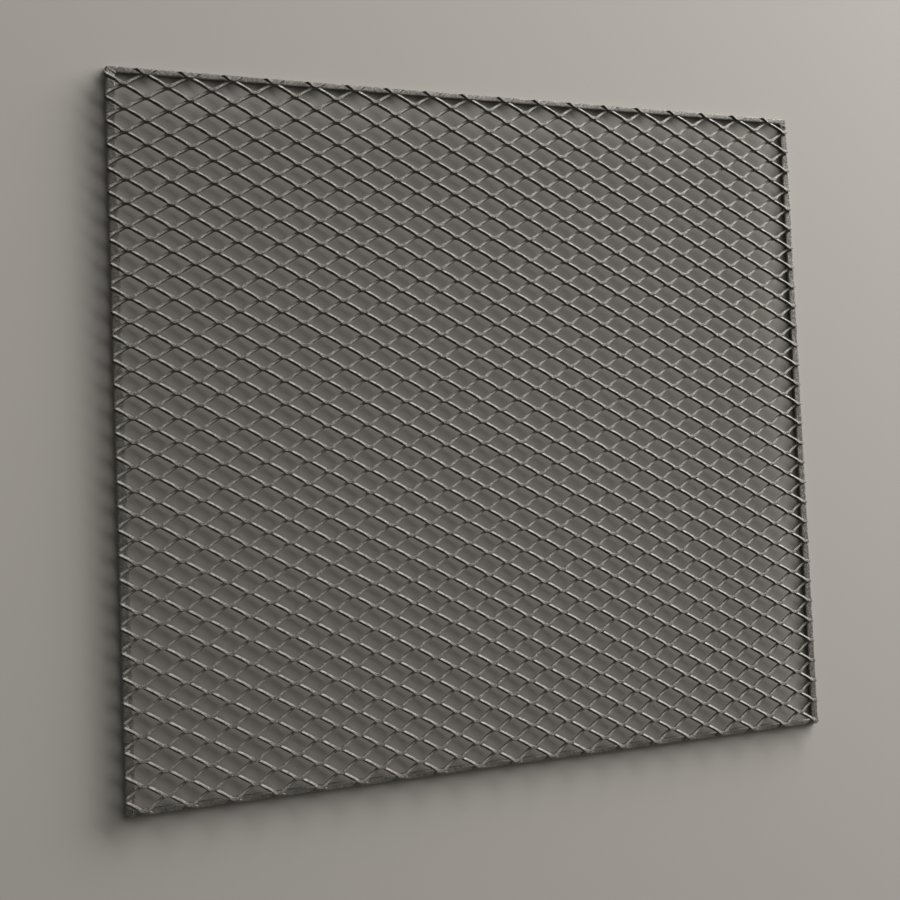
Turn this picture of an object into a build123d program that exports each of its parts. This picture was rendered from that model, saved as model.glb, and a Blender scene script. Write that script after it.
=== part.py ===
from build123d import *
from math import atan2, ceil, floor, sqrt, tan
import os

os.makedirs("parts", exist_ok=True)

# A framed panel of raised expanded metal, lying on its back.
# X runs across the panel, Y runs up it, and Z points out of its front.
# The origin is on the underside, below the middle of the panel.

# Border of flat bars behind the mesh
panel_width = 915.0
panel_height = 838.0
side_bar_width = 11.0
end_bar_width = 7.5
bar_thickness = 6.0
bar_edge_radius = 1.0
panel_corner_radius = 3.0

# Expanded mesh: the long way and the short way are the pitches of its diamonds
long_way = 49.2
short_way = 27.0
plate_thickness = 3.2
strand_width = 4.0
bond_length = 4.5
first_bond_from_left = 20.0
first_bond_from_top = 8.0
band_count = 4

# Land that the sheared mesh leaves bare on each side of the border.
# On the left the mesh reaches a little past the bar.
left_land = -1.0
right_land = 6.0
top_land = 3.0
bottom_land = 4.0

# Each row of strands is the plate pushed down by the knife and fed on by one strand width.
# The finished mesh lies level, so the plate's own feed direction leans steeply out of it.
row_pitch = short_way / 2
knife_drop = sqrt(row_pitch**2 - strand_width**2)
feed_direction = Vector(0, strand_width, knife_drop).normalized()
bond_height = bar_thickness + strand_width * feed_direction.Z + plate_thickness / 2 * feed_direction.Y

# Outline of one zigzag row: flat bonds of bond_length joined by slopes, one plate thick
slope_run = long_way / 2 - bond_length
slope_angle = atan2(knife_drop, slope_run)
half_plate = plate_thickness / 2
mitre = half_plate * tan(slope_angle / 2)
inner_bend = bond_length / 2 - mitre
outer_bend = bond_length / 2 + mitre

mesh_left = -panel_width / 2 + left_land
mesh_right = panel_width / 2 - right_land
mesh_top = panel_height / 2 - top_land
mesh_bottom = -panel_height / 2 + bottom_land
top_bond_y = panel_height / 2 - first_bond_from_top
row_count = ceil((top_bond_y - mesh_bottom) / row_pitch) + 1


def row_plane(row):
    """Plane of one row's back edge, through the bonds at the row's foot. Row 0 is the topmost."""
    foot = (0, top_bond_y - row * row_pitch, bond_height)
    return Plane(origin=foot, x_dir=(1, 0, 0), z_dir=feed_direction)


def foot_bonds(row):
    """Middles of the bonds at a row's foot, with one spare bond past each side of the mesh."""
    first = first_bond_from_left - panel_width / 2 + (row + 1) % 2 * long_way / 2
    before = ceil((first - mesh_left) / long_way) + 1
    after = floor((mesh_right - first) / long_way) + 1
    return [first + step * long_way for step in range(-before, after + 1)]


def row_outline(row):
    """Corners of a row's zigzag, along its lower side and back along its upper side."""
    lower, upper = [], []
    for foot in foot_bonds(row):
        head = foot + long_way / 2
        lower += [(foot - outer_bend, -half_plate), (foot + outer_bend, -half_plate)]
        lower += [(head - inner_bend, knife_drop - half_plate), (head + inner_bend, knife_drop - half_plate)]
        upper += [(foot - inner_bend, half_plate), (foot + inner_bend, half_plate)]
        upper += [(head - outer_bend, knife_drop + half_plate), (head + outer_bend, knife_drop + half_plate)]
    return lower + upper[::-1]


for band in range(band_count):
    first_row = band * row_count // band_count
    next_band_row = (band + 1) * row_count // band_count
    with BuildPart() as mesh_band:
        # Rows fuse at the bonds that they share
        for row in range(first_row, next_band_row):
            with BuildSketch(row_plane(row)):
                with BuildLine():
                    Polyline(*row_outline(row), close=True)
                make_face()
        extrude(amount=strand_width)
        # The mesh is sheared off square on all four sides
        with BuildSketch():
            Polygon((mesh_left, mesh_bottom), (mesh_right, mesh_bottom),
                    (mesh_right, mesh_top), (mesh_left, mesh_top), align=None)
        extrude(amount=2 * bond_height, mode=Mode.INTERSECT)
        # A scrap that the shears cut loose at a corner falls away
        add(mesh_band.solids().sort_by(SortBy.VOLUME)[-1], mode=Mode.REPLACE)
    mesh_band.part.label = f"mesh_band_{band + 1}"
    export_step(mesh_band.part, f"parts/mesh_band_{band + 1}.step")


def border_bar_sketch(outer_corners, inner_corners):
    """One mitred length of the border, between two corners of the panel."""
    RectangleRounded(panel_width, panel_height, panel_corner_radius)
    Polygon(*outer_corners, *inner_corners[::-1], align=None, mode=Mode.INTERSECT)


half_width = panel_width / 2
half_height = panel_height / 2
inner_half_width = half_width - side_bar_width
inner_half_height = half_height - end_bar_width
outer_right = [(half_width, -half_height), (half_width, half_height)]
inner_right = [(inner_half_width, -inner_half_height), (inner_half_width, inner_half_height)]
outer_top = [(-half_width, half_height), (half_width, half_height)]
inner_top = [(-inner_half_width, inner_half_height), (inner_half_width, inner_half_height)]

with BuildPart() as frame_bar_right:
    with BuildSketch():
        border_bar_sketch(outer_right, inner_right)
    extrude(amount=bar_thickness)
    fillet(frame_bar_right.edges().filter_by(Axis.Y), bar_edge_radius)
frame_bar_right.part.label = "frame_bar_right"
export_step(frame_bar_right.part, "parts/frame_bar_right.step")

with BuildPart() as frame_bar_top:
    with BuildSketch():
        border_bar_sketch(outer_top, inner_top)
    extrude(amount=bar_thickness)
    fillet(frame_bar_top.edges().filter_by(Axis.X), bar_edge_radius)
frame_bar_top.part.label = "frame_bar_top"
export_step(frame_bar_top.part, "parts/frame_bar_top.step")

with BuildPart() as frame_bar_left:
    mirror(frame_bar_right.part, about=Plane.YZ)
frame_bar_left.part.label = "frame_bar_left"
export_step(frame_bar_left.part, "parts/frame_bar_left.step")

with BuildPart() as frame_bar_bottom:
    mirror(frame_bar_top.part, about=Plane.XZ)
frame_bar_bottom.part.label = "frame_bar_bottom"
export_step(frame_bar_bottom.part, "parts/frame_bar_bottom.step")
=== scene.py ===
from math import atan2, ceil, cos, pi, radians, sin, sqrt, tan

import bmesh
import bpy
import numpy as np
from mathutils import Matrix, Vector, noise


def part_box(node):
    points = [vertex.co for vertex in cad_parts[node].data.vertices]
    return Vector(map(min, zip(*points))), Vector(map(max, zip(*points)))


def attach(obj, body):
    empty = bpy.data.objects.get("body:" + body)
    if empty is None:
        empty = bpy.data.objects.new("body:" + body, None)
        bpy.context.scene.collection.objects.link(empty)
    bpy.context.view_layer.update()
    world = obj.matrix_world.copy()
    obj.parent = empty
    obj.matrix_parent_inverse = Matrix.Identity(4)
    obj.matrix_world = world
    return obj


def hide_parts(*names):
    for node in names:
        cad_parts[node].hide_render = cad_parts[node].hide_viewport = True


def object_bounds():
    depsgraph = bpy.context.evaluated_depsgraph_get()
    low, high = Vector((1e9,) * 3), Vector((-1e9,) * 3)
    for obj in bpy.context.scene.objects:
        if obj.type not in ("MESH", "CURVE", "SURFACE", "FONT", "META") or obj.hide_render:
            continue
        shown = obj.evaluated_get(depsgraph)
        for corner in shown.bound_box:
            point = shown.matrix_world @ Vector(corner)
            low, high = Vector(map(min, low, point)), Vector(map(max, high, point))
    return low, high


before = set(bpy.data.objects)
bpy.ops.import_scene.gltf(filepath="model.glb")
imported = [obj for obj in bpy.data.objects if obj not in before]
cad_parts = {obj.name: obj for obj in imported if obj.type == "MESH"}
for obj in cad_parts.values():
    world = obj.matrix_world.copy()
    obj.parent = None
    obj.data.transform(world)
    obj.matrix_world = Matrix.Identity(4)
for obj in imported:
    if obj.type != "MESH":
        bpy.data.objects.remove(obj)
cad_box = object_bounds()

# A framed panel of raised expanded metal, lying on its back on a pale floor.
# Lengths are in millimetres until MM turns them into metres.
MM = 0.001

# Sizes of the press work, as the panel was made
LONG_WAY = 49.2
SHORT_WAY = 27.0
PLATE_THICKNESS = 3.2
STRAND_WIDTH = 4.0
BOND_LENGTH = 4.5
FIRST_BOND_FROM_LEFT = 20.0
FIRST_BOND_FROM_TOP = 8.0
BAND_COUNT = 4

# A sheared strand's long edges roll over, its bends are round, and its slopes twist a little
ROLLED_EDGE = 0.45
BEND_TANGENT = 1.1
FALLING_TWIST = radians(18)
RISING_TWIST = radians(-2)
TWIST_SPREAD = (0.85, 1.15)
TWIST_WAVE_START = 0.08

# The knife presses the lower lip of a front bond out. A reach is a share of the slope's length
BOND_SWELL = 1.3
SWELL_REACH = 0.3

# Scale stays on a front bond, flakes off a little along a slope and wholly near the bond behind. The
# paleness near the bond behind is also painted light, which lifts the shade that the row above casts there
FLAKED_AND_PAINTED_LIGHT_ALONG = 0.2
FLAKED_AND_PAINTED_LIGHT_REACH = 0.5

# A joint's corners lie between sheared face and skin, and between a front bond and the one behind
# it, so both marks are halfway there
SEAM_SHEARED = 0.5
SEAM_FLAKED_AND_PAINTED_LIGHT = 0.5

# Share of paler skin on each bar, which is painted light: the left and bottom bars lie in the mesh's shade
# and are painted paler, the lit right bar darker
PALE_SHARE_PAINTED_LIGHT = {"top": 0.35, "bottom": 0.7, "left": 0.85, "right": 0.05}
WELD_PALE_SHARE = 0.45

# Each side's tack welds: how far they sit from the strand that they hold, and their radii
TACK_WELDS = {
    "left": ((-2.6, -2.6, 0.4), (3.2, 2.5, 1.9)),
    "right": ((-3.4, -1.0, 0.3), (3.6, 2.9, 1.9)),
    "top": ((0.0, 1.0, 0.0), (3.4, 2.2, 1.9)),
    "bottom": ((0.0, -1.0, 0.2), (3.6, 2.8, 1.9)),
}

# Marks that the welder left on the bars' front faces
CORNER_LUMP_CENTRE = (454.0, 408.2)
CORNER_LUMP_RADII = (2.2, 2.6, 1.2)
SPATTER_CENTRE = (-444.6, -415.6)
SPATTER_RADII = (1.3, 1.3, 1.0)
CRATER_CENTRE = (-451.9, -412.7)
CRATER_RADIUS = 2.5
CRATER_RIM_RADII = (0.75, 0.75, 0.6)

# Fineness of the meshes: sections along a slope, blobs round the crater, and a bar's facet size
SLOPE_STEPS = 6
CRATER_STEPS = 18
BAR_FACET = 1.3

# Seeds, so that the random draws and the strands' wander are the same each time
MESH_SEED = 40
WELD_SEED = 7
WANDER_SEED = 1
noise.seed_set(WANDER_SEED)

half_panel_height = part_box("frame_bar_top")[1].y / MM
half_panel_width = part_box("frame_bar_right")[1].x / MM
side_bar_width = half_panel_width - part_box("frame_bar_right")[0].x / MM
end_bar_width = half_panel_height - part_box("frame_bar_top")[0].y / MM
bar_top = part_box("frame_bar_top")[1].z / MM
mesh_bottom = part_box(f"mesh_band_{BAND_COUNT}")[0].y / MM
top_bond_y = half_panel_height - FIRST_BOND_FROM_TOP

# A row of strands is the plate pushed down by the knife, and it leans steeply out of the level mesh
row_pitch = SHORT_WAY / 2
knife_drop = sqrt(row_pitch**2 - STRAND_WIDTH**2)
lean_up = STRAND_WIDTH / row_pitch
lean_out = knife_drop / row_pitch
bond_height = bar_top + STRAND_WIDTH * lean_out + PLATE_THICKNESS / 2 * lean_up
slope_angle = atan2(knife_drop, LONG_WAY / 2 - BOND_LENGTH)
row_count = ceil((top_bond_y - mesh_bottom) / row_pitch) + 1


def section_points():
    """Twelve points round a strand, three on each rolled edge: n runs through the plate and w along
    its feed. They start at the upper front edge and run over the front to the lower side."""
    flat_n = PLATE_THICKNESS / 2 - ROLLED_EDGE
    flat_w = STRAND_WIDTH / 2 - ROLLED_EDGE
    onto_cap = (0, 45, 90)
    off_cap = onto_cap[::-1]
    points = []
    for side_n, side_w, turns in ((1, 1, onto_cap), (-1, 1, off_cap), (-1, -1, onto_cap), (1, -1, off_cap)):
        for turn in turns:
            n = side_n * (flat_n + ROLLED_EDGE * cos(radians(turn)))
            w = side_w * (flat_w + ROLLED_EDGE * sin(radians(turn)))
            points.append((n, w))
    return points


# Places of points in a section. A face has the place of the point that it starts from
SECTION = section_points()
FRONT_HALF = range(0, 6)
LOWER_FRONT = range(3, 6)
BACK_HALF = range(6, 12)
SHEARED_CORNERS = (2, 3, 8, 9)
FRONT_FACE = 2
BACK_FACE = 8


def place(row, x, up, out):
    """A point of one row, in millimetres: x along the panel, up the plate's face, out along its feed."""
    foot_y = top_bond_y - row * row_pitch
    return (x, foot_y + up * lean_out + out * lean_up, bond_height - up * lean_up + out * lean_out)


def bond_xs(row):
    """Middles of the bonds along a row, foot and head by turns, past both sides of the panel."""
    first = FIRST_BOND_FROM_LEFT - half_panel_width + (row + 1) % 2 * LONG_WAY / 2
    before = ceil((first + half_panel_width) / LONG_WAY) + 1
    start = first - before * LONG_WAY
    count = 2 * (ceil((half_panel_width - start) / LONG_WAY) + 1)
    return [start + step * LONG_WAY / 2 for step in range(count + 1)]


class Band:
    """Vertices and faces of the strand rows that make one band of the mesh."""

    def __init__(self):
        self.points = []
        self.sheared = []
        self.flaked_and_painted_light = []
        self.faces = []
        self.seam = {}

    def add_point(self, point, sheared, flaked_and_painted_light):
        """Keep a point with its two marks, and return its number."""
        self.points.append(point)
        self.sheared.append(sheared)
        self.flaked_and_painted_light.append(flaked_and_painted_light)
        return len(self.points) - 1

    def seam_point(self, row, level, x, up):
        """A corner of a bond's joint face, which the rows on both sides of it use.
        The joint is at the foot of the row of its level, and at the head of the next row."""
        key = (level, round(x, 3), up > 0)
        if key not in self.seam:
            centre_up = 0 if level == row else knife_drop
            out = 0 if level == row else STRAND_WIDTH
            point = place(row, x, centre_up + up, out)
            self.seam[key] = self.add_point(point, SEAM_SHEARED, SEAM_FLAKED_AND_PAINTED_LIGHT)
        return self.seam[key]

    def ring(self, row, x, up, angle, twist, swell, flaked_and_painted_light, bond=None):
        """One cross-section of a strand. At a bond, the half next to the other row is the joint's own."""
        joint_half = {"foot": BACK_HALF, "head": FRONT_HALF}.get(bond, ())
        level = row - 1 if bond == "head" else row
        corners = []
        for index, (n, w) in enumerate(SECTION):
            if index in joint_half:
                half_plate = PLATE_THICKNESS / 2 if n > 0 else -PLATE_THICKNESS / 2
                corners.append(self.seam_point(row, level, x, half_plate))
                continue
            if index in LOWER_FRONT:
                n -= swell
            turned_n = n * cos(twist) - w * sin(twist)
            turned_w = n * sin(twist) + w * cos(twist)
            here_x = x - turned_n * sin(angle)
            here_up = up + turned_n * cos(angle)
            point = place(row, here_x, here_up, STRAND_WIDTH / 2 + turned_w)
            corners.append(self.add_point(point, 1.0 if index in SHEARED_CORNERS else 0.0, flaked_and_painted_light))
        return corners

    def join_rings(self, first, second, left_out=None):
        """Faces between two sections, without the one that another row's strand covers."""
        for index in range(len(SECTION)):
            if index == left_out:
                continue
            after = (index + 1) % len(SECTION)
            corners = [first[index], second[index], second[after], first[after]]
            # A joint's corners are one point for three places, so some faces have fewer sides or none
            face = [corner for i, corner in enumerate(corners) if corner != corners[i - 1]]
            if len(face) > 2:
                self.faces.append(face)


def bond_stations(x, kind):
    """Sections across one bond: on each side, the middle of its bend and the end of its flat."""
    flat = BOND_LENGTH / 2 - BEND_TANGENT
    radius = BEND_TANGENT / tan(slope_angle / 2)
    half = flat + radius * sin(slope_angle / 2)
    lift = radius * (1 - cos(slope_angle / 2))
    rise = 1 if kind == "foot" else -1
    base = 0 if kind == "foot" else knife_drop
    bent_up = base + rise * lift
    turn = rise * slope_angle / 2
    # A bond behind gets the whole pale mark: flaked scale, and painted light against the shade that the row
    # above casts on it
    swell, flaked_and_painted_light = (BOND_SWELL, 0.0) if kind == "foot" else (0.0, 1.0)
    return [(x - half, bent_up, -turn, 0, swell, flaked_and_painted_light), (x - flat, base, 0, 0, swell, flaked_and_painted_light),
            (x + flat, base, 0, 0, swell, flaked_and_painted_light), (x + half, bent_up, turn, 0, swell, flaked_and_painted_light)]


def slope_stations(x, kind, random):
    """Sections along the slope that follows a bond. It twists most at its middle."""
    rise = 1 if kind == "foot" else -1
    base = 0 if kind == "foot" else knife_drop
    bend_run = BEND_TANGENT * cos(slope_angle)
    bend_up = rise * BEND_TANGENT * sin(slope_angle)
    start_x = x + BOND_LENGTH / 2 + bend_run
    start_up = base + bend_up
    end_x = x + LONG_WAY / 2 - BOND_LENGTH / 2 - bend_run
    end_up = knife_drop - base - bend_up
    most_twist = -(RISING_TWIST if kind == "foot" else FALLING_TWIST) * random.uniform(*TWIST_SPREAD)
    stations = []
    for step in range(SLOPE_STEPS + 1):
        t = step / SLOPE_STEPS
        wave = TWIST_WAVE_START + (1 - 2 * TWIST_WAVE_START) * t
        from_foot = t if kind == "foot" else 1 - t
        swell = BOND_SWELL * max(0.0, 1 - from_foot / SWELL_REACH)
        past_foot = min(1.0, from_foot / SWELL_REACH)
        near_head = max(0.0, 1 - (1 - from_foot) / FLAKED_AND_PAINTED_LIGHT_REACH)
        # Paler towards the bond behind: partly flaked scale, partly painted light that lifts the shade
        # there
        flaked_and_painted_light = FLAKED_AND_PAINTED_LIGHT_ALONG * past_foot + (1 - FLAKED_AND_PAINTED_LIGHT_ALONG) * near_head
        here_x = start_x + (end_x - start_x) * t
        here_up = start_up + (end_up - start_up) * t
        stations.append((here_x, here_up, rise * slope_angle, most_twist * sin(pi * wave), swell, flaked_and_painted_light))
    return stations


def stretch_row(band, row, has_row_above, has_row_below, random):
    """Add one zigzag row of strands to a band."""
    before = None
    for index, x in enumerate(bond_xs(row)):
        kind = "foot" if index % 2 == 0 else "head"
        joined = has_row_below if kind == "foot" else has_row_above
        joint_face = BACK_FACE if kind == "foot" else FRONT_FACE
        rings = [band.ring(row, *station, bond=kind) for station in bond_stations(x, kind)]
        if before:
            band.join_rings(before, rings[0])
        for first, second in zip(rings, rings[1:]):
            band.join_rings(first, second, left_out=joint_face if joined else None)
        slope = [band.ring(row, *station) for station in slope_stations(x, kind, random)]
        band.join_rings(rings[-1], slope[0])
        for first, second in zip(slope, slope[1:]):
            band.join_rings(first, second)
        before = slope[-1]


def roughen(points):
    """Stretched strands wander a little, and their sheared edges are uneven."""
    wander = 0.25
    wander_size = 70.0
    ripple = 0.10
    ripple_size = 5.0
    moved = []
    for point in points:
        place_mm = Vector(point)
        slow = noise.noise_vector(place_mm / wander_size) * wander
        fast = noise.noise_vector(place_mm / ripple_size) * ripple
        # The slow wander is level, so that the mesh stays flat
        slow.z = 0
        moved.append(place_mm + slow + fast)
    return moved


def shear_off(mesh_data, plane_point, plane_normal):
    """Cut a closed mesh at a plane and close the cut ends."""
    on_plane = 1e-4 * MM
    geometry = mesh_data.verts[:] + mesh_data.edges[:] + mesh_data.faces[:]
    cut = bmesh.ops.bisect_plane(mesh_data, geom=geometry, dist=on_plane, plane_co=plane_point,
                                 plane_no=plane_normal, clear_outer=True)
    rims = [e for e in cut["geom_cut"] if isinstance(e, bmesh.types.BMEdge)]
    bmesh.ops.holes_fill(mesh_data, edges=rims, sides=0)


def drop_scraps(mesh_data):
    """Only the largest joined part stays: what the shears cut loose falls away."""
    unvisited = set(mesh_data.verts)
    parts = []
    while unvisited:
        to_visit = [unvisited.pop()]
        part = list(to_visit)
        while to_visit:
            here = to_visit.pop()
            for edge in here.link_edges:
                there = edge.other_vert(here)
                if there in unvisited:
                    unvisited.remove(there)
                    to_visit.append(there)
                    part.append(there)
        parts.append(part)
    parts.sort(key=len)
    for part in parts[:-1]:
        bmesh.ops.delete(mesh_data, geom=part, context="VERTS")


def within(point, low, high):
    """The point, moved into a box where it sticks out."""
    return [min(max(value, least), most) for value, least, most in zip(point, low, high)]


def add_piece(mesh, slot, *replaced):
    """Put a finished mesh in the scene as a piece of the panel."""
    piece = bpy.data.objects.new(mesh.name, mesh)
    bpy.context.scene.collection.objects.link(piece)
    if replaced:
        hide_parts(*replaced)
    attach(piece, "root")
    return piece


def expanded_band(number):
    """One band of the expanded mesh, as a single joined piece."""
    random = np.random.default_rng(MESH_SEED + number)
    first_row = (number - 1) * row_count // BAND_COUNT
    next_band_row = number * row_count // BAND_COUNT
    band = Band()
    for row in range(first_row, next_band_row):
        stretch_row(band, row, row > first_row, row < next_band_row - 1, random)
    mesh = bpy.data.meshes.new(f"expanded_mesh_{number}")
    mesh.from_pydata([point * MM for point in roughen(band.points)], [], band.faces)
    mesh.attributes.new("sheared", "FLOAT", "POINT").data.foreach_set("value", band.sheared)
    mesh.attributes.new("flaked_and_painted_light", "FLOAT", "POINT").data.foreach_set("value", band.flaked_and_painted_light)
    data = bmesh.new()
    data.from_mesh(mesh)
    low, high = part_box(f"mesh_band_{number}")
    shear_off(data, low, (-1, 0, 0))
    shear_off(data, high, (1, 0, 0))
    if number == 1:
        shear_off(data, high, (0, 1, 0))
    if number == BAND_COUNT:
        shear_off(data, low, (0, -1, 0))
    drop_scraps(data)
    for vertex in data.verts:
        vertex.co = within(vertex.co, low, high)
    bmesh.ops.recalc_face_normals(data, faces=data.faces)
    bmesh.ops.triangulate(data, faces=[f for f in data.faces if len(f.verts) > 4])
    data.to_mesh(mesh)
    data.free()
    mesh.shade_smooth()
    return add_piece(mesh, "mesh_steel", f"mesh_band_{number}")


def mark_pale_share(mesh, share):
    """Note on a mesh how much of its skin is pale, for the bar's material."""
    mesh.attributes.new("pale_share", "FLOAT", "POINT").data.foreach_set("value", [share] * len(mesh.vertices))


def rolled_bar(side):
    """One border bar with fine facets, so that its rolled skin and its edges are uneven."""
    dent_depth = 0.3
    dent_size = 14.0
    grit_depth = 0.14
    grit_size = 2.6
    bare = bpy.data.objects.new("bare_bar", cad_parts[f"frame_bar_{side}"].data.copy())
    bpy.context.scene.collection.objects.link(bare)
    remesh = bare.modifiers.new("even_facets", "REMESH")
    remesh.mode = "VOXEL"
    remesh.voxel_size = BAR_FACET * MM
    mesh = bpy.data.meshes.new_from_object(bare.evaluated_get(bpy.context.evaluated_depsgraph_get()))
    bpy.data.objects.remove(bare)
    mesh.name = f"rolled_bar_{side}"
    low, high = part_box(f"frame_bar_{side}")
    normals = [Vector(v.normal) for v in mesh.vertices]
    for vertex, outward in zip(mesh.vertices, normals):
        place_mm = vertex.co / MM
        dent = dent_depth * abs(noise.noise(place_mm / dent_size))
        grit = grit_depth * noise.noise(place_mm / grit_size)
        vertex.co = within(vertex.co - outward * (dent + grit) * MM, low, high)
    # Painted light: each bar's share of paler skin follows how the lamps and the mesh's shade fall on it
    mark_pale_share(mesh, PALE_SHARE_PAINTED_LIGHT[side])
    mesh.materials.clear()
    mesh.shade_smooth()
    return add_piece(mesh, "bar_steel", f"frame_bar_{side}")


def weld_spots():
    """Centres and radii of the tack welds that hold the mesh on the border, then of two stray lumps."""
    spots = []

    def tack(side, x, y):
        shift, radii = TACK_WELDS[side]
        spots.append(((x + shift[0], y + shift[1], bar_top + shift[2]), radii))

    side_bar_middle = half_panel_width - side_bar_width / 2
    first_odd_x = FIRST_BOND_FROM_LEFT - half_panel_width
    first_even_x = first_odd_x + LONG_WAY / 2
    last_level = row_count - 2
    last_bond_y = top_bond_y - last_level * row_pitch
    for level in range(0, last_level + 1, 2):
        tack("left", -side_bar_middle, top_bond_y - level * row_pitch)
    for level in range(1, last_level + 1, 2):
        tack("right", side_bar_middle, top_bond_y - level * row_pitch)
    for x in np.arange(first_even_x, side_bar_middle, LONG_WAY):
        tack("top", x, top_bond_y)
    for x in np.arange(first_odd_x, side_bar_middle, LONG_WAY):
        tack("bottom", x, last_bond_y)
    spots.append(((*CORNER_LUMP_CENTRE, bar_top), CORNER_LUMP_RADII))
    spots.append(((*SPATTER_CENTRE, bar_top), SPATTER_RADII))
    return spots


def weld_beads():
    """The tack welds, a low weld over each mitre and the rim of a weld crater, as one piece."""
    size_spread = (0.85, 1.15)
    lumps_per_radius = 1.6
    tack_lumpiness = 0.5
    mitre_lumpiness = 0.3
    rim_lumpiness = 0.2
    mitre_blobs = 6
    mitre_radii = (1.4, 1.4, 0.5)
    mitre_height = bar_top - 0.2
    # Shares of the way along a mitre, from the outer corner
    first_blob = 0.28
    blob_step = 0.14
    random = np.random.default_rng(WELD_SEED)
    data = bmesh.new()

    def blob(centre, radii, lumpiness):
        lump_place = Vector(random.uniform(0, 100, 3))
        size = random.uniform(*size_spread)
        made = bmesh.ops.create_icosphere(data, subdivisions=3, radius=1.0)
        for vertex in made["verts"]:
            swell = 1 + lumpiness * noise.noise(vertex.co * lumps_per_radius + lump_place)
            vertex.co = [(c + v * r * swell * size) * MM for c, v, r in zip(centre, vertex.co, radii)]

    for centre, radii in weld_spots():
        blob(centre, radii, tack_lumpiness)
    corner = Vector((half_panel_width, half_panel_height, mitre_height))
    inner = Vector((half_panel_width - side_bar_width, half_panel_height - end_bar_width, mitre_height))
    for side_x in (-1, 1):
        for side_y in (-1, 1):
            for step in range(mitre_blobs):
                on_mitre = corner.lerp(inner, first_blob + blob_step * step)
                blob((side_x * on_mitre.x, side_y * on_mitre.y, on_mitre.z), mitre_radii, mitre_lumpiness)
    for step in range(CRATER_STEPS):
        angle = 2 * pi * step / CRATER_STEPS
        x = CRATER_CENTRE[0] + CRATER_RADIUS * cos(angle)
        y = CRATER_CENTRE[1] + CRATER_RADIUS * sin(angle)
        blob((x, y, bar_top), CRATER_RIM_RADII, rim_lumpiness)
    for vertex in data.verts:
        vertex.co = within(vertex.co, *cad_box)
    mesh = bpy.data.meshes.new("weld_beads")
    data.to_mesh(mesh)
    data.free()
    mark_pale_share(mesh, WELD_PALE_SHARE)
    mesh.shade_smooth()
    return add_piece(mesh, "bar_steel")


def linear(hex_colour):
    """An sRGB hex colour as the linear colour that shaders take."""
    channels = [int(hex_colour[i:i + 2], 16) / 255 for i in (1, 3, 5)]
    return (*[c / 12.92 if c <= 0.04045 else ((c + 0.055) / 1.055) ** 2.4 for c in channels], 1.0)


def pattern_scale(size):
    """A texture's scale for a pattern whose marks are so many millimetres across."""
    return 1 / (size * MM)


def node(tree, kind, settings=None, links=None):
    """Add a node, set its properties and sockets, and link its inputs."""
    made = tree.nodes.new(kind)
    for name, value in (settings or {}).items():
        if isinstance(name, str) and hasattr(made, name):
            setattr(made, name, value)
        else:
            made.inputs[name].default_value = value
    for name, source in (links or {}).items():
        tree.links.new(source, made.inputs[name])
    return made


def new_material(name):
    """A material with an empty node tree, and the tree."""
    material = bpy.data.materials.new(name)
    material.use_nodes = True
    material.node_tree.nodes.clear()
    return material, material.node_tree


def blend_colours(tree, factor, low, high):
    """Mix two colours by a factor. Each is a hex colour or a node's output."""
    mix = node(tree, "ShaderNodeMix", {"data_type": "RGBA"}, {0: factor})
    for socket, colour in (("A", low), ("B", high)):
        inputs = [s for s in mix.inputs if s.name == socket and s.type == "RGBA"]
        if isinstance(colour, str):
            inputs[0].default_value = linear(colour)
        else:
            tree.links.new(colour, inputs[0])
    return [s for s in mix.outputs if s.type == "RGBA"][0]


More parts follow.
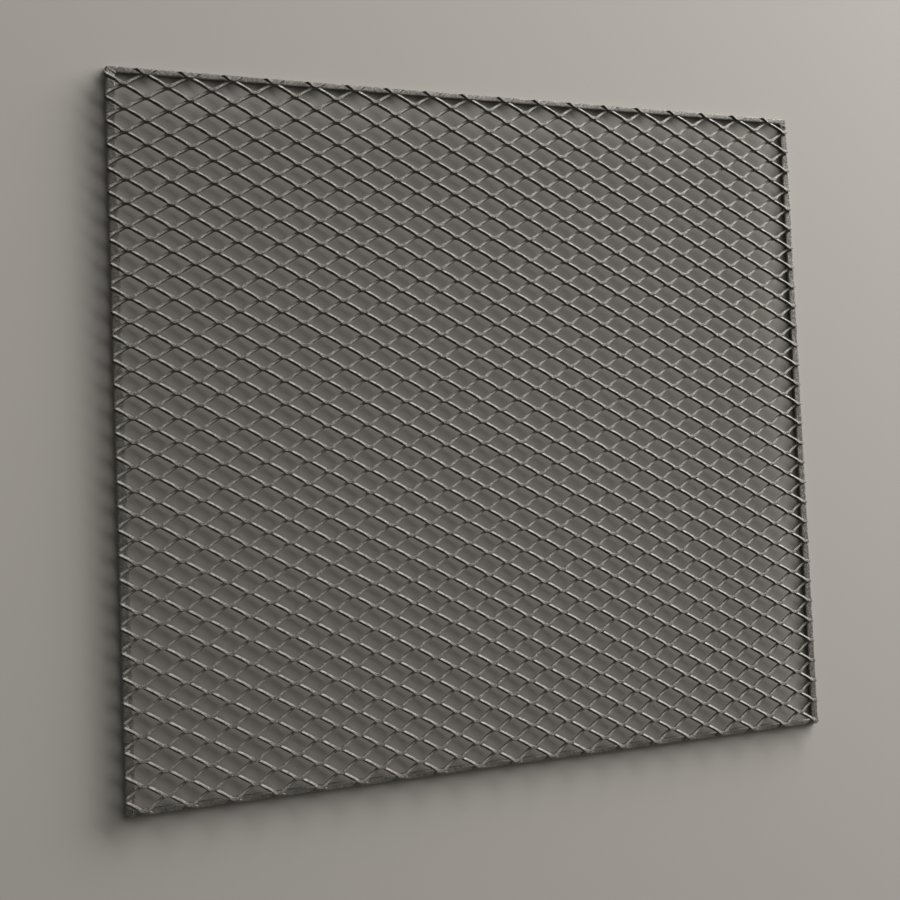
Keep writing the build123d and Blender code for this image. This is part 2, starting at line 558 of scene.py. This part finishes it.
def sheared_mill_steel():
    """Hot-rolled mild steel plate, slit and stretched, never painted. The plate's own faces keep
    a dull dark mill skin. The caps that the knife tore are paler and gritty, with highlight glints painted
    into the colour all over."""
    material, tree = new_material("sheared_mill_steel")
    where = node(tree, "ShaderNodeTexCoord").outputs["Object"]
    sheared = node(tree, "ShaderNodeAttribute", {"attribute_name": "sheared"}).outputs["Fac"]
    flaked_and_painted_light = node(tree, "ShaderNodeAttribute", {"attribute_name": "flaked_and_painted_light"}).outputs["Fac"]
    # Scale left by rolling, in patches of about 60 mm
    patches = node(tree, "ShaderNodeTexNoise", {"Scale": pattern_scale(62.5), "Detail": 3.0},
                   {"Vector": where}).outputs["Fac"]
    # Torn grit of about 0.5 mm, drawn at about 1.5 mm so that it shows
    grit = node(tree, "ShaderNodeTexNoise",
                {"Scale": pattern_scale(1.5385), "Detail": 2.0, "Roughness": 0.6},
                {"Vector": where}).outputs["Fac"]
    # Drag marks of the knife, 4 mm apart
    drag = node(tree, "ShaderNodeTexNoise", {"Scale": pattern_scale(4.0), "Detail": 2.0},
                {"Vector": where}).outputs["Fac"]
    # Painted glints: pale specks in the colour that stand in for highlights on the torn grit
    painted_glints = node(tree, "ShaderNodeMapRange", {"From Min": 0.52, "From Max": 0.66, "To Max": 0.75},
                  {"Value": grit}).outputs["Result"]
    pits = node(tree, "ShaderNodeMapRange", {"From Min": 0.46, "From Max": 0.34, "To Max": 0.6},
                {"Value": grit}).outputs["Result"]
    skin = blend_colours(tree, patches, "#373532", "#4e4b47")
    torn = blend_colours(tree, drag, "#4d4a46", "#67645e")
    # Paler bare metal where the scale has flaked off, most of all where a strand leaves a bond behind. Near
    # that bond the paleness is also painted light, which lifts the shade that the row above casts there
    torn = blend_colours(tree, flaked_and_painted_light, torn, "#b3afa6")
    bare = blend_colours(tree, sheared, skin, torn)
    pitted = blend_colours(tree, pits, bare, "#2c2a28")
    # The painted highlight specks go over the whole colour
    colour = blend_colours(tree, painted_glints, pitted, "#9a958c")
    rough = node(tree, "ShaderNodeMapRange", {"To Min": 0.72, "To Max": 0.5}, {"Value": grit})
    relief = node(tree, "ShaderNodeMath", {"operation": "ADD"}, {0: grit, 1: drag})
    bump = node(tree, "ShaderNodeBump", {"Strength": 0.6, "Distance": 0.3 * MM},
                {"Height": relief.outputs["Value"]})
    shader = node(tree, "ShaderNodeBsdfPrincipled", {"Metallic": 0.45},
                  {"Base Color": colour, "Roughness": rough.outputs["Result"],
                   "Normal": bump.outputs["Normal"]})
    node(tree, "ShaderNodeOutputMaterial", links={"Surface": shader.outputs["BSDF"]})
    return material


def rolled_bar_steel():
    """Hot-rolled flat bar: a dull dark skin, scabby and pitted, with random pale specks."""
    material, tree = new_material("rolled_bar_steel")
    where = node(tree, "ShaderNodeTexCoord").outputs["Object"]
    pale_share = node(tree, "ShaderNodeAttribute", {"attribute_name": "pale_share"}).outputs["Fac"]
    # Scabs of scale, about 15 mm across
    scabs = node(tree, "ShaderNodeTexNoise",
                 {"Scale": pattern_scale(15.385), "Detail": 4.0, "Roughness": 0.6},
                 {"Vector": where}).outputs["Fac"]
    # Pits of about 0.7 mm, drawn at about 1.7 mm so that they show
    grit = node(tree, "ShaderNodeTexNoise",
                {"Scale": pattern_scale(1.7241), "Detail": 3.0, "Roughness": 0.65},
                {"Vector": where}).outputs["Fac"]
    pale_specks = node(tree, "ShaderNodeMapRange", {"From Min": 0.5, "From Max": 0.66},
                  {"Value": grit}).outputs["Result"]
    pits = node(tree, "ShaderNodeMapRange", {"From Min": 0.46, "From Max": 0.34, "To Max": 0.65},
                {"Value": grit}).outputs["Result"]
    dark_skin = blend_colours(tree, scabs, "#4a4743", "#6a665f")
    # Paler skin, which the bars' shares put on as painted light
    pale_skin = blend_colours(tree, scabs, "#7f7b74", "#a39f96")
    skin = blend_colours(tree, pale_share, dark_skin, pale_skin)
    pitted = blend_colours(tree, pits, skin, "#2b2927")
    colour = blend_colours(tree, pale_specks, pitted, "#a39e95")
    rough = node(tree, "ShaderNodeMapRange", {"To Min": 0.75, "To Max": 0.52}, {"Value": grit})
    relief = node(tree, "ShaderNodeMath", {"operation": "ADD"}, {0: grit, 1: scabs})
    bump = node(tree, "ShaderNodeBump", {"Strength": 0.7, "Distance": 0.35 * MM},
                {"Height": relief.outputs["Value"]})
    shader = node(tree, "ShaderNodeBsdfPrincipled", {"Metallic": 0.4},
                  {"Base Color": colour, "Roughness": rough.outputs["Result"],
                   "Normal": bump.outputs["Normal"]})
    node(tree, "ShaderNodeOutputMaterial", links={"Surface": shader.outputs["BSDF"]})
    return material


def pale_floor():
    """A plain pale grey floor under the panel, with its reach from the middle in metres."""
    reach = 5.0
    mesh = bpy.data.meshes.new("pale_floor")
    corners = [(-reach, -reach, 0), (reach, -reach, 0), (reach, reach, 0), (-reach, reach, 0)]
    mesh.from_pydata(corners, [], [(0, 1, 2, 3)])
    floor_piece = bpy.data.objects.new("pale_floor", mesh)
    bpy.context.scene.collection.objects.link(floor_piece)
    material, tree = new_material("pale_floor")
    shader = node(tree, "ShaderNodeBsdfPrincipled", {"Base Color": linear("#c0bbb3"), "Roughness": 0.9})
    node(tree, "ShaderNodeOutputMaterial", links={"Surface": shader.outputs["BSDF"]})
    mesh.materials.append(material)


def softbox(name, azimuth, elevation, distance, size, energy):
    """A rectangular lamp that faces the panel's middle, with its distance and size in metres and its
    energy in watts. The azimuth turns from the top edge to the right one."""
    lamp = bpy.data.lights.new(name, "AREA")
    lamp.shape = "RECTANGLE"
    lamp.size, lamp.size_y = size
    lamp.energy = energy
    lamp_object = bpy.data.objects.new(name, lamp)
    bpy.context.scene.collection.objects.link(lamp_object)
    level = cos(elevation)
    direction = Vector((sin(azimuth) * level, cos(azimuth) * level, sin(elevation)))
    lamp_object.location = direction * distance
    lamp_object.rotation_mode = "QUATERNION"
    lamp_object.rotation_quaternion = direction.to_track_quat("Z", "Y")


def studio_light():
    """A wide low softbox shades the floor evenly through the mesh, and a high one fills the strands."""
    softbox("low_softbox", azimuth=radians(50), elevation=radians(13), distance=7.0,
            size=(8.0, 2.0), energy=1010.0)
    softbox("high_softbox", azimuth=radians(45), elevation=radians(40), distance=4.5,
            size=(6.5, 2.2), energy=80.0)
    world = bpy.data.worlds.new("pale_surround")
    world.use_nodes = True
    tree = world.node_tree
    path = node(tree, "ShaderNodeLightPath")
    seen_or_mirrored = node(tree, "ShaderNodeMath", {"operation": "MAXIMUM"},
                            {0: path.outputs["Is Camera Ray"], 1: path.outputs["Is Glossy Ray"]})
    seen = node(tree, "ShaderNodeMath", {"operation": "MAXIMUM"},
                {0: seen_or_mirrored.outputs["Value"], 1: path.outputs["Is Transmission Ray"]})
    # The surround lights the panel faintly, and shows paler than that where it is seen
    strength = node(tree, "ShaderNodeMapRange", {"To Min": 0.1, "To Max": 0.35},
                    {"Value": seen.outputs["Value"]})
    surround = tree.nodes["Background"]
    surround.inputs["Color"].default_value = linear("#d8d6d2")
    tree.links.new(strength.outputs["Result"], surround.inputs["Strength"])
    bpy.context.scene.world = world


def camera_over_panel():
    """The photo's view of the panel, from above its left edge."""
    eye = Vector((-537.4, -52.9, 1319.1)) * MM
    aim = Vector((-61.3, 5.4, 6.0)) * MM
    photo_up = Vector((0.0242, 0.9983, 0.0531))
    sensor_width = 36.0
    frame_px = 900.0
    focal_length_px = 1136.6
    axis_row_px = 423.1
    camera_data = bpy.data.cameras.new("photo_camera")
    camera_data.sensor_width = sensor_width
    camera_data.lens = focal_length_px / frame_px * sensor_width
    camera_data.shift_y = (axis_row_px - frame_px / 2) / frame_px
    camera = bpy.data.objects.new("photo_camera", camera_data)
    bpy.context.scene.collection.objects.link(camera)
    back = (eye - aim).normalized()
    right = photo_up.cross(back).normalized()
    up = back.cross(right)
    camera.matrix_world = Matrix.Translation(eye) @ Matrix((right, up, back)).transposed().to_4x4()
    bpy.context.scene.camera = camera


mesh_steel = sheared_mill_steel()
bar_steel = rolled_bar_steel()

for number in range(1, BAND_COUNT + 1):
    expanded_band(number).data.materials.append(mesh_steel)

for side in ("top", "bottom", "left", "right"):
    rolled_bar(side).data.materials.append(bar_steel)
weld_beads().data.materials.append(bar_steel)

pale_floor()
studio_light()
camera_over_panel()
bpy.context.scene.view_settings.view_transform = "Standard"
